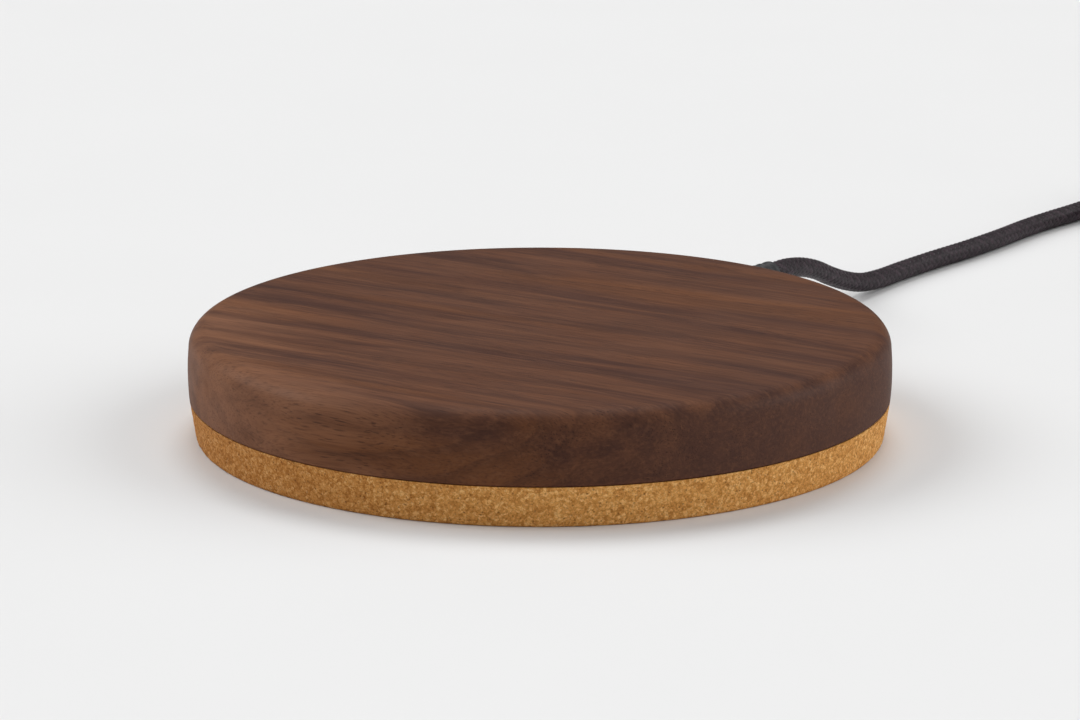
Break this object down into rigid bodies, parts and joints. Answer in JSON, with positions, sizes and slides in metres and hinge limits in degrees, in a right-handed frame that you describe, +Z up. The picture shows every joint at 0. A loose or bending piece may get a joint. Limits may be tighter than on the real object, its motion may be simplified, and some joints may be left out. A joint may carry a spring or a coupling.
{
  "type": "wireless charging pad",
  "caption": "Round walnut charging pad with a rounded top edge on a cork base, with its coil, board and a braided cable that unplugs.",
  "frame": {"origin": "centre of the cork base's underside", "axes": "+Z up through the charging surface, +Y out through the cable socket at the back"},
  "size_m": [0.123, 0.3005, 0.018],
  "materials": {
    "walnut": "oiled, satin, open pores",
    "cork": "fine agglomerated granules, matt",
    "adhesive": "double-sided film",
    "copper": "enamelled copper strands",
    "ferrite": "sintered, dull",
    "circuit_board": "green solder mask",
    "chip_resin": "moulded epoxy",
    "capacitor": "sintered ceramic with tinned ends",
    "plated_steel": "nickel plated",
    "insulating_film": "thin polyester",
    "black_plastic": "fine moulded texture",
    "braid": "tight nylon braid",
    "glass_bead": "glass coated bead",
    "strap": "woven hook-and-loop strap"
  },
  "bodies": {
    "pad": {"walnut_housing": "walnut", "cork_base": "cork", "base_adhesive_ring": "adhesive", "coil_adhesive_film": "adhesive", "charging_coil": "copper", "ferrite_sheet": "ferrite", "coil_lead_outer": "copper", "coil_lead_inner": "copper", "thermistor": "glass_bead", "circuit_board": "circuit_board", "insulating_film": "insulating_film", "controller_chip": "chip_resin", "half_bridge_chip_1": "chip_resin", "half_bridge_chip_2": "chip_resin", "power_inductor": "chip_resin", "input_capacitor_1": "capacitor", "input_capacitor_2": "capacitor", "resonant_capacitor_1": "capacitor", "resonant_capacitor_2": "capacitor", "resonant_capacitor_3": "capacitor", "resonant_capacitor_4": "capacitor", "usb_socket_shell": "plated_steel", "usb_socket_tongue": "black_plastic", "board_screw_1": "plated_steel", "board_screw_2": "plated_steel", "board_screw_3": "plated_steel", "board_screw_4": "plated_steel"},
    "cable": {"plug_shell": "plated_steel", "plug_insert": "black_plastic", "plug_overmold": "black_plastic", "strain_relief": "black_plastic", "cable_run": "braid", "cable_coil": "braid", "cable_tail": "braid", "cable_tie": "strap", "far_strain_relief": "black_plastic", "far_plug_overmold": "black_plastic", "far_plug_shell": "plated_steel", "far_plug_insert": "black_plastic"}
  },
  "joints": [
    {"name": "plug_pull", "type": "slide", "parent": "pad", "child": "cable", "axis": [0, 1, 0], "range_m": [0, 0.01]}
  ]
}
